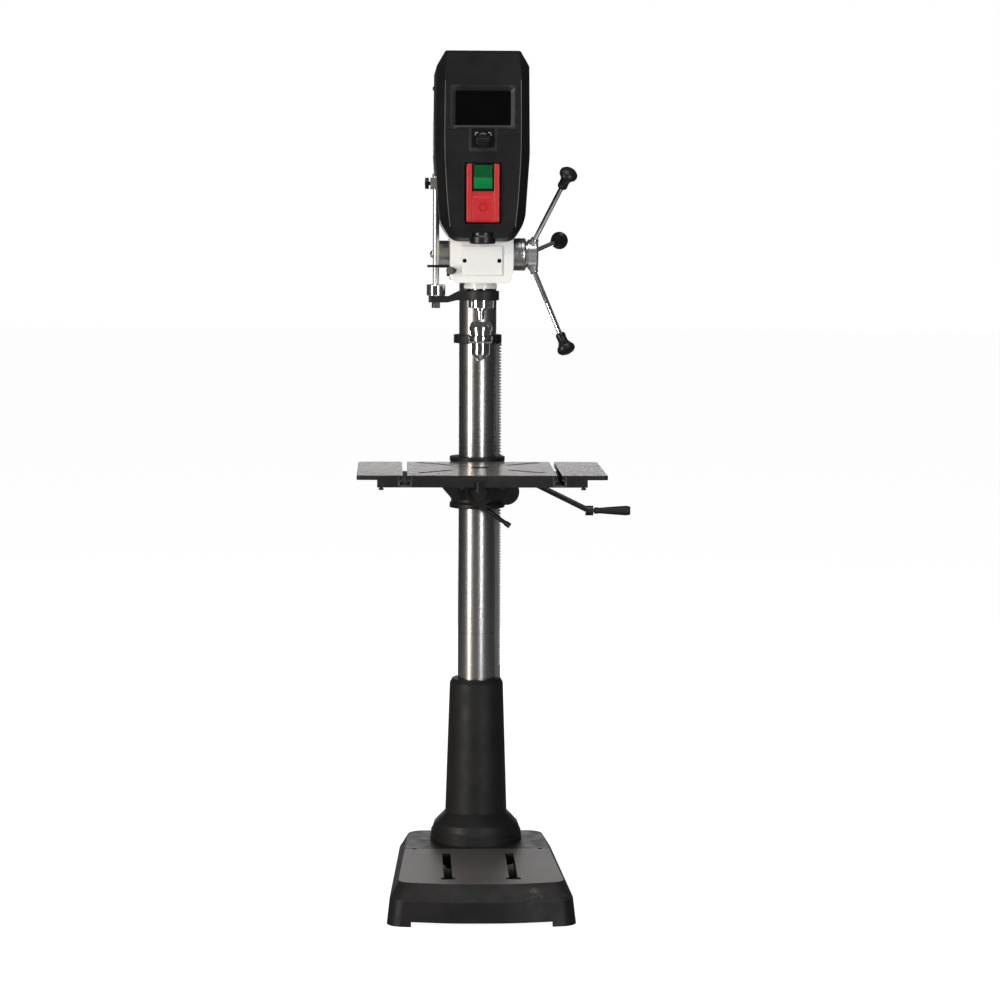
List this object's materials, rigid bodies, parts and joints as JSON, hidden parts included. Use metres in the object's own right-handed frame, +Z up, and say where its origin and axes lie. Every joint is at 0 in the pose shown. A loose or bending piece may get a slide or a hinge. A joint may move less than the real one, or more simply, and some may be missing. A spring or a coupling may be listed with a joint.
{
  "type": "drill press",
  "caption": "Floor-standing drill press: keyed chuck on a sprung quill with spoked feed, tilting slotted table cranked up a racked column, cast base and control head.",
  "frame": {"origin": "where the column's axis meets the floor", "axes": "+Z up along the column, -Y towards the operator, +X to the operator's right"},
  "size_m": [0.579, 0.596, 1.747],
  "materials": {
    "ground_iron": "ground",
    "black_paint": "textured satin",
    "white_paint": "satin",
    "steel": "ground",
    "dark_steel": "blackened",
    "bright_chrome": "polished",
    "black_plastic": "matte",
    "gloss_black": "gloss",
    "grey_plastic": "satin",
    "red_plastic": "satin",
    "green_plastic": "gloss",
    "circuit": "satin"
  },
  "bodies": {
    "frame": {"base_casting": "ground_iron", "column_foot": "black_paint", "column_foot_bolts": "dark_steel", "column_clamp_screws": "dark_steel", "column": "steel", "rack_ring": "black_paint", "rack_ring_screw": "dark_steel", "head_casting": "white_paint", "front_cover": "black_plastic", "rear_cover": "black_plastic", "power_inlet": "black_plastic", "rating_plate": "grey_plastic", "cover_screws": "dark_steel", "display_bezel": "gloss_black", "display_screen": "gloss_black", "control_board": "circuit", "switch_housing": "black_plastic", "cover_cap": "gloss_black", "motor_housing": "black_plastic", "motor_stator": "steel", "rotor_bearings": "steel", "feed_bearing": "steel", "spring_cup": "steel", "return_spring": "steel", "spring_nut": "bright_chrome", "pointer_bracket": "black_paint"},
    "rack": {"column_rack": "steel"},
    "bracket": {"table_bracket": "black_paint", "tilt_bolt": "steel", "gear_cover": "black_paint"},
    "table": {"table_casting": "ground_iron", "apron_screws": "steel"},
    "lift_gear": {"lift_gear": "steel"},
    "crank": {"worm_shaft": "steel", "crank_arm": "dark_steel"},
    "crank_grip": {"crank_grip": "black_plastic"},
    "column_lock": {"column_lock_lever": "dark_steel"},
    "quill": {"quill": "bright_chrome", "quill_bearings": "steel", "depth_collar": "black_paint", "depth_rod": "steel", "depth_nut": "bright_chrome", "depth_rod_bolt": "steel"},
    "depth_stop": {"depth_stop": "steel"},
    "depth_stop_button": {"depth_stop_button": "black_plastic"},
    "feed": {"feed_pinion_shaft": "steel", "feed_hub": "bright_chrome", "feed_spokes": "steel", "feed_knobs": "black_plastic"},
    "rotor": {"motor_rotor": "steel"},
    "spindle": {"spindle": "steel", "chuck_body": "bright_chrome"},
    "chuck_sleeve": {"chuck_sleeve": "bright_chrome"},
    "jaw_1": {"chuck_jaw_1": "steel"},
    "jaw_2": {"chuck_jaw_2": "steel"},
    "jaw_3": {"chuck_jaw_3": "steel"},
    "speed_dial": {"control_dial": "black_plastic"},
    "stop_paddle": {"stop_paddle": "red_plastic"},
    "start_button": {"start_button": "green_plastic"},
    "quill_lock": {"quill_lock_screw": "steel"}
  },
  "joints": [
    {"name": "table_swing", "type": "hinge", "parent": "frame", "child": "rack", "pos_m": [0, 0, 0.832], "axis": [0, 0, 1], "range_deg": [-180, 180]},
    {"name": "table_lift", "type": "slide", "parent": "rack", "child": "bracket", "axis": [0, 0, 1], "range_m": [-0.36, 0.15]},
    {"name": "table_tilt", "type": "hinge", "parent": "bracket", "child": "table", "pos_m": [0, -0.13, 0.842], "axis": [0, 1, 0], "range_deg": [-45, 45]},
    {"name": "lift_gear_turn", "type": "hinge", "parent": "bracket", "child": "lift_gear", "pos_m": [0.0615, 0.022, 0.832], "axis": [0, 1, 0], "range_deg": [-663, 1588]},
    {"name": "crank_turn", "type": "hinge", "parent": "bracket", "child": "crank", "pos_m": [0.106, 0.022, 0.8545], "axis": [1, 0, 0], "range_deg": [-11108, 4629]},
    {"name": "crank_grip_spin", "type": "hinge", "parent": "crank", "child": "crank_grip", "pos_m": [0.26, -0.00746, 0.791], "axis": [1, 0, 0], "continuous": true},
    {"name": "column_lock_turn", "type": "hinge", "parent": "bracket", "child": "column_lock", "pos_m": [0.01, -0.0785, 0.805], "axis": [0, 1, 0], "range_deg": [0, 70]},
    {"name": "quill_feed", "type": "slide", "parent": "frame", "child": "quill", "axis": [0, 0, 1], "range_m": [-0.152, 0], "stiffness_N_per_m": 200, "springref_m": 0.4},
    {"name": "feed_turn", "type": "hinge", "parent": "frame", "child": "feed", "pos_m": [0, -0.17, 1.338], "axis": [1, 0, 0], "range_deg": [0, 484]},
    {"name": "depth_stop_slide", "type": "slide", "parent": "quill", "child": "depth_stop", "axis": [0, 0, -1], "range_m": [0, 0.14]},
    {"name": "depth_stop_press", "type": "slide", "parent": "depth_stop", "child": "depth_stop_button", "axis": [1, 0, 0], "range_m": [0, 0.0025], "stiffness_N_per_m": 300, "springref_m": -0.003},
    {"name": "rotor_spin", "type": "hinge", "parent": "frame", "child": "rotor", "pos_m": [0, -0.212, 1.6], "axis": [0, 0, 1], "continuous": true},
    {"name": "spindle_spin", "type": "hinge", "parent": "quill", "child": "spindle", "pos_m": [0, -0.212, 1.3], "axis": [0, 0, 1], "continuous": true},
    {"name": "chuck_sleeve_turn", "type": "hinge", "parent": "spindle", "child": "chuck_sleeve", "pos_m": [0, -0.212, 1.165], "axis": [0, 0, 1], "range_deg": [0, 360]},
    {"name": "jaw_1_slide", "type": "slide", "parent": "spindle", "child": "jaw_1", "axis": [0, 0.2079, 0.9781], "range_m": [-0.01, 0]},
    {"name": "jaw_2_slide", "type": "slide", "parent": "spindle", "child": "jaw_2", "axis": [-0.1801, -0.104, 0.9781], "range_m": [-0.01, 0]},
    {"name": "jaw_3_slide", "type": "slide", "parent": "spindle", "child": "jaw_3", "axis": [0.1801, -0.104, 0.9781], "range_m": [-0.01, 0]},
    {"name": "speed_dial_turn", "type": "hinge", "parent": "frame", "child": "speed_dial", "pos_m": [0, -0.345, 1.568], "axis": [0, -1, 0], "continuous": true},
    {"name": "stop_paddle_press", "type": "hinge", "parent": "frame", "child": "stop_paddle", "pos_m": [0, -0.343, 1.519], "axis": [1, 0, 0], "range_deg": [0, 2], "stiffness_Nm_per_rad": 2, "springref_deg": -2.86},
    {"name": "start_button_press", "type": "slide", "parent": "frame", "child": "start_button", "axis": [0, 1, 0], "range_m": [0, 0.003], "stiffness_N_per_m": 300, "springref_m": -0.003},
    {"name": "quill_lock_turn", "type": "hinge", "parent": "frame", "child": "quill_lock", "pos_m": [-0.062, -0.3078, 1.307], "axis": [0.5433, 0.8395, 0], "range_deg": [0, 180]}
  ],
  "couplings": [
    {"joint": "lift_gear_turn", "follows": "table_lift", "rad_per_m": -76.923},
    {"joint": "crank_turn", "follows": "table_lift", "rad_per_m": 538.46},
    {"joint": "feed_turn", "follows": "quill_feed", "rad_per_m": -55.556},
    {"joint": "spindle_spin", "follows": "rotor_spin", "ratio": 1},
    {"joint": "jaw_1_slide", "follows": "chuck_sleeve_turn", "m_per_rad": -0.0015915},
    {"joint": "jaw_2_slide", "follows": "chuck_sleeve_turn", "m_per_rad": -0.0015915},
    {"joint": "jaw_3_slide", "follows": "chuck_sleeve_turn", "m_per_rad": -0.0015915}
  ]
}
